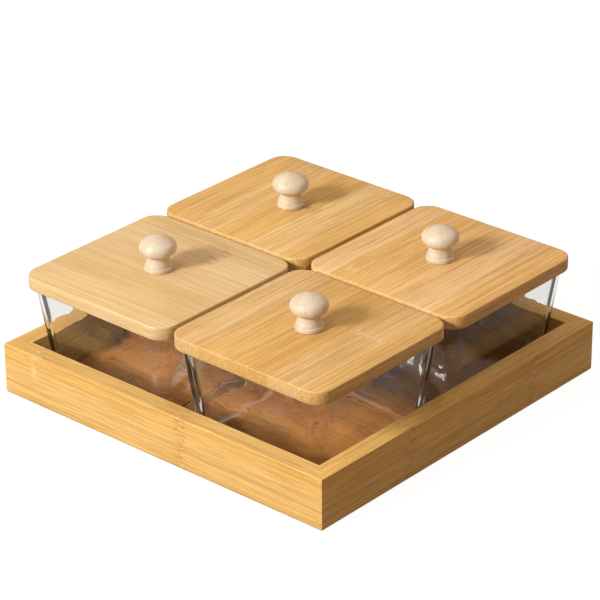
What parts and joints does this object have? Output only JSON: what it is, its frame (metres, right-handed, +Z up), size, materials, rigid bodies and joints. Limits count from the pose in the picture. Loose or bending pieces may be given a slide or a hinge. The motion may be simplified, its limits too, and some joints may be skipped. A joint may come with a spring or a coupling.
{
  "type": "chip and dip server",
  "caption": "Square bamboo tray holding lift-out square glass bowls, each under a bamboo lid with a turned wooden knob.",
  "frame": {"origin": "bottom centre of the tray, on the surface that it stands on", "axes": "+Z is up; -Y is the front of the tray and +X its right side"},
  "size_m": [0.27, 0.27, 0.108],
  "materials": {
    "bamboo_rail": "satin lacquered bamboo",
    "bamboo_panel": "satin lacquered bamboo",
    "bamboo_spline": "raw bamboo",
    "bamboo_lid": "satin lacquered bamboo",
    "bamboo_plug": "satin lacquered bamboo",
    "knob_wood": "pale turned hardwood, satin",
    "clear_glass": "clear pressed glass",
    "screw_steel": "zinc plated"
  },
  "bodies": {
    "tray": {"tray_front_rail": "bamboo_rail", "tray_right_rail": "bamboo_rail", "tray_back_rail": "bamboo_rail", "tray_left_rail": "bamboo_rail", "tray_base_panel": "bamboo_panel", "tray_corner_splines": "bamboo_spline"},
    "bowl_front_left": {"glass_bowl_front_left": "clear_glass"},
    "lid_front_left": {"lid_board_front_left": "bamboo_lid", "lid_plug_front_left": "bamboo_plug", "knob_front_left": "knob_wood", "knob_screw_front_left": "screw_steel"},
    "bowl_front_right": {"glass_bowl_front_right": "clear_glass"},
    "lid_front_right": {"lid_board_front_right": "bamboo_lid", "lid_plug_front_right": "bamboo_plug", "knob_front_right": "knob_wood", "knob_screw_front_right": "screw_steel"},
    "bowl_back_left": {"glass_bowl_back_left": "clear_glass"},
    "lid_back_left": {"lid_board_back_left": "bamboo_lid", "lid_plug_back_left": "bamboo_plug", "knob_back_left": "knob_wood", "knob_screw_back_left": "screw_steel"},
    "bowl_back_right": {"glass_bowl_back_right": "clear_glass"},
    "lid_back_right": {"lid_board_back_right": "bamboo_lid", "lid_plug_back_right": "bamboo_plug", "knob_back_right": "knob_wood", "knob_screw_back_right": "screw_steel"}
  },
  "joints": [
    {"name": "bowl_front_left_lift", "type": "slide", "parent": "tray", "child": "bowl_front_left", "axis": [0, 0, 1], "range_m": [0, 0.12]},
    {"name": "lid_front_left_lift", "type": "slide", "parent": "bowl_front_left", "child": "lid_front_left", "axis": [0, 0, 1], "range_m": [0, 0.06]},
    {"name": "bowl_front_right_lift", "type": "slide", "parent": "tray", "child": "bowl_front_right", "axis": [0, 0, 1], "range_m": [0, 0.12]},
    {"name": "lid_front_right_lift", "type": "slide", "parent": "bowl_front_right", "child": "lid_front_right", "axis": [0, 0, 1], "range_m": [0, 0.06]},
    {"name": "bowl_back_left_lift", "type": "slide", "parent": "tray", "child": "bowl_back_left", "axis": [0, 0, 1], "range_m": [0, 0.12]},
    {"name": "lid_back_left_lift", "type": "slide", "parent": "bowl_back_left", "child": "lid_back_left", "axis": [0, 0, 1], "range_m": [0, 0.06]},
    {"name": "bowl_back_right_lift", "type": "slide", "parent": "tray", "child": "bowl_back_right", "axis": [0, 0, 1], "range_m": [0, 0.12]},
    {"name": "lid_back_right_lift", "type": "slide", "parent": "bowl_back_right", "child": "lid_back_right", "axis": [0, 0, 1], "range_m": [0, 0.06]}
  ]
}
